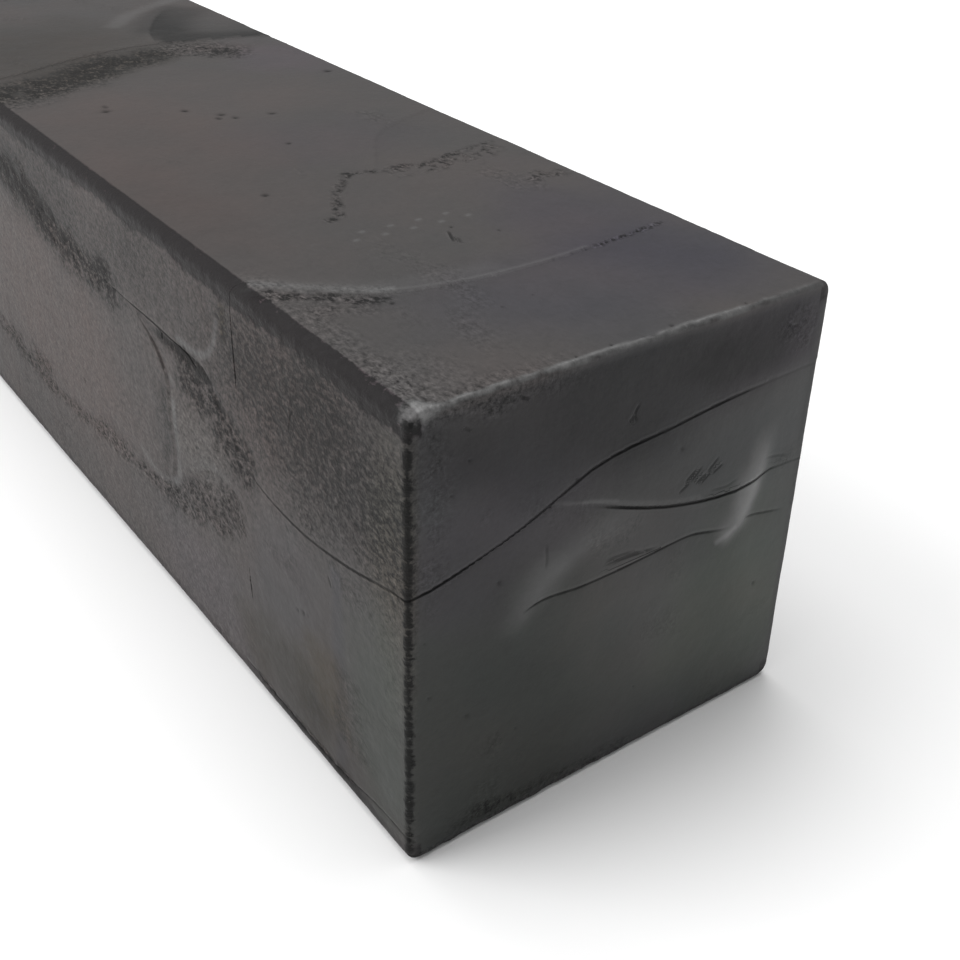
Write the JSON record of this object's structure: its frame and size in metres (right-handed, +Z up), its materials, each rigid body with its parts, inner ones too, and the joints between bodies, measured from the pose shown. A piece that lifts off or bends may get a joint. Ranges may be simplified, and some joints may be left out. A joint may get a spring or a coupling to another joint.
{
  "type": "square charcoal stick",
  "caption": "Jumbo square stick of compressed drawing charcoal, pressed from kneaded lumps whose laps and knits stay visible on its faces.",
  "frame": {"origin": "centre of the face that the stick rests on", "axes": "+X across the section, +Y along the stick from the front end to the rear end, +Z up from the resting face"},
  "size_m": [0.02, 0.08, 0.02],
  "materials": {
    "folded_charcoal": "satin, finely grained, with rough torn bands along the laps",
    "pressed_charcoal": "satin, finely grained, faintly olive",
    "flank_charcoal": "satin, finely grained, faintly brown"
  },
  "bodies": {
    "root": {"front_upper_fold": "folded_charcoal", "front_wedge_fold": "folded_charcoal", "front_base": "pressed_charcoal", "middle_upper_fold": "folded_charcoal", "middle_flank": "flank_charcoal", "middle_base": "pressed_charcoal", "side_leaf": "flank_charcoal", "rear_upper_fold": "folded_charcoal", "rear_base": "pressed_charcoal"}
  },
  "joints": []
}
